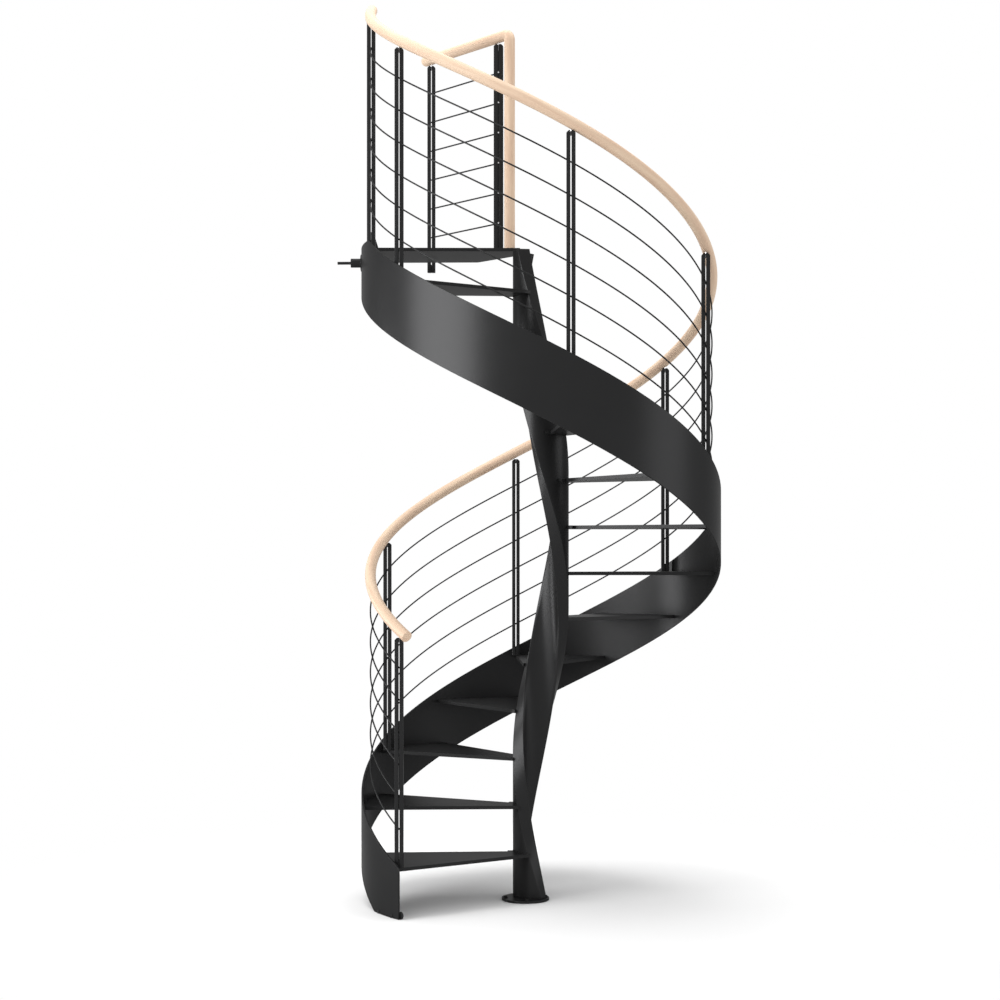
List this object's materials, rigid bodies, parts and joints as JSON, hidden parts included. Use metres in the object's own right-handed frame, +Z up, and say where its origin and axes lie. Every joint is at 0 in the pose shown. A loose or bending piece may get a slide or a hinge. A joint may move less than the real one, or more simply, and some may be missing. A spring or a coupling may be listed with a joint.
{
  "type": "spiral staircase",
  "caption": "Spiral stair with wedge treads between a twisted spine and a helical outer band, with a wooden handrail, posts and infill rods.",
  "frame": {"origin": "centre of the foot flange's lower face, on the floor", "axes": "+Z up; the picture looks along +Y; the stair axis stands 105 mm from the origin, and the stair climbs clockwise seen from above"},
  "size_m": [1.7111, 1.5997, 4.0032],
  "materials": {
    "dark_steel": "satin graphite paint",
    "pale_wood": "clear satin lacquer"
  },
  "bodies": {
    "root": {"foot_flange": "dark_steel", "spine": "dark_steel", "tread_01": "dark_steel", "tread_02": "dark_steel", "tread_03": "dark_steel", "tread_04": "dark_steel", "tread_05": "dark_steel", "tread_06": "dark_steel", "tread_07": "dark_steel", "tread_08": "dark_steel", "tread_09": "dark_steel", "tread_10": "dark_steel", "tread_11": "dark_steel", "tread_12": "dark_steel", "tread_13": "dark_steel", "landing_plate": "dark_steel", "outer_band_1": "dark_steel", "outer_band_2": "dark_steel", "outer_band_3": "dark_steel", "outer_band_4": "dark_steel", "outer_band_5": "dark_steel", "outer_band_6": "dark_steel", "outer_band_7": "dark_steel", "post_1": "dark_steel", "post_2": "dark_steel", "post_3": "dark_steel", "post_4": "dark_steel", "post_5": "dark_steel", "post_6": "dark_steel", "post_7": "dark_steel", "post_8": "dark_steel", "landing_post_1": "dark_steel", "landing_post_2": "dark_steel", "handrail_1": "pale_wood", "handrail_2": "pale_wood", "handrail_3": "pale_wood", "handrail_4": "pale_wood", "landing_rail": "pale_wood", "infill_1": "dark_steel", "infill_2": "dark_steel", "infill_3": "dark_steel", "infill_4": "dark_steel", "infill_5": "dark_steel", "infill_6": "dark_steel", "infill_7": "dark_steel", "landing_infill": "dark_steel", "wall_fixing": "dark_steel", "foot_bracket": "dark_steel"}
  },
  "joints": []
}
